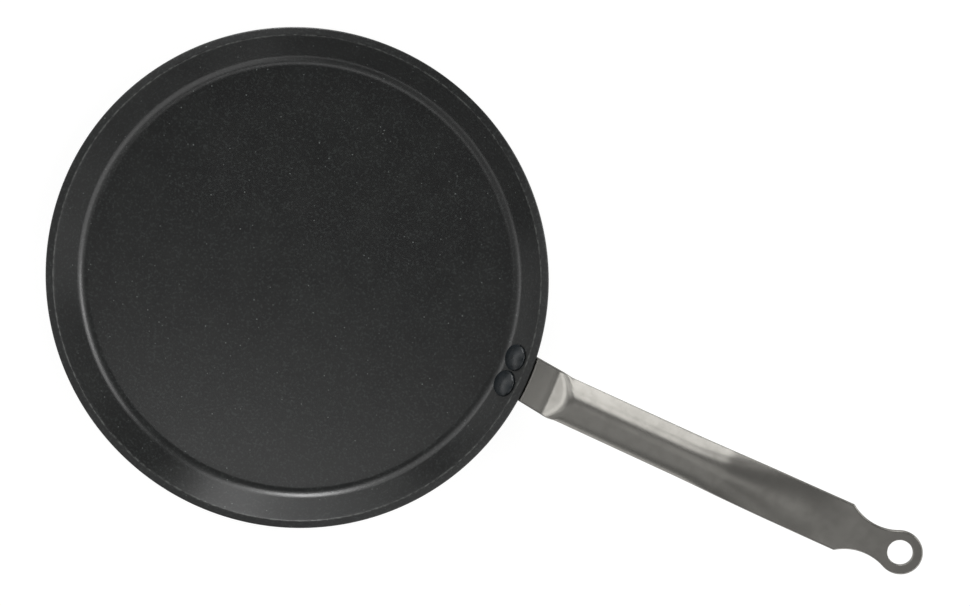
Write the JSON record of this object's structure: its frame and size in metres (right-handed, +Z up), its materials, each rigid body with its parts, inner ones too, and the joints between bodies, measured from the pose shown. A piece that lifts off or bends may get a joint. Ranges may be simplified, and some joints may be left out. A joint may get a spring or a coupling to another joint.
{
  "type": "crepe pan",
  "caption": "Shallow round crepe pan: a non-stick pressed dish with a low flared wall, riveted to a bent steel strip handle with a hanging ring.",
  "frame": {"origin": "centre of the dish's flat underside, on the surface that the pan stands on", "axes": "+X out along the handle, +Y across it, +Z up"},
  "size_m": [0.4683, 0.26, 0.0725],
  "materials": {
    "dish_coating": "pressed aluminium under a matt dark grey non-stick coating",
    "handle_steel": "satin strip steel, lightly brushed along its length",
    "rivet_coating": "solid aluminium under a smooth dark slate coating"
  },
  "bodies": {
    "root": {"pan_dish": "dish_coating", "handle": "handle_steel", "rivet_left": "rivet_coating", "rivet_right": "rivet_coating"}
  },
  "joints": []
}
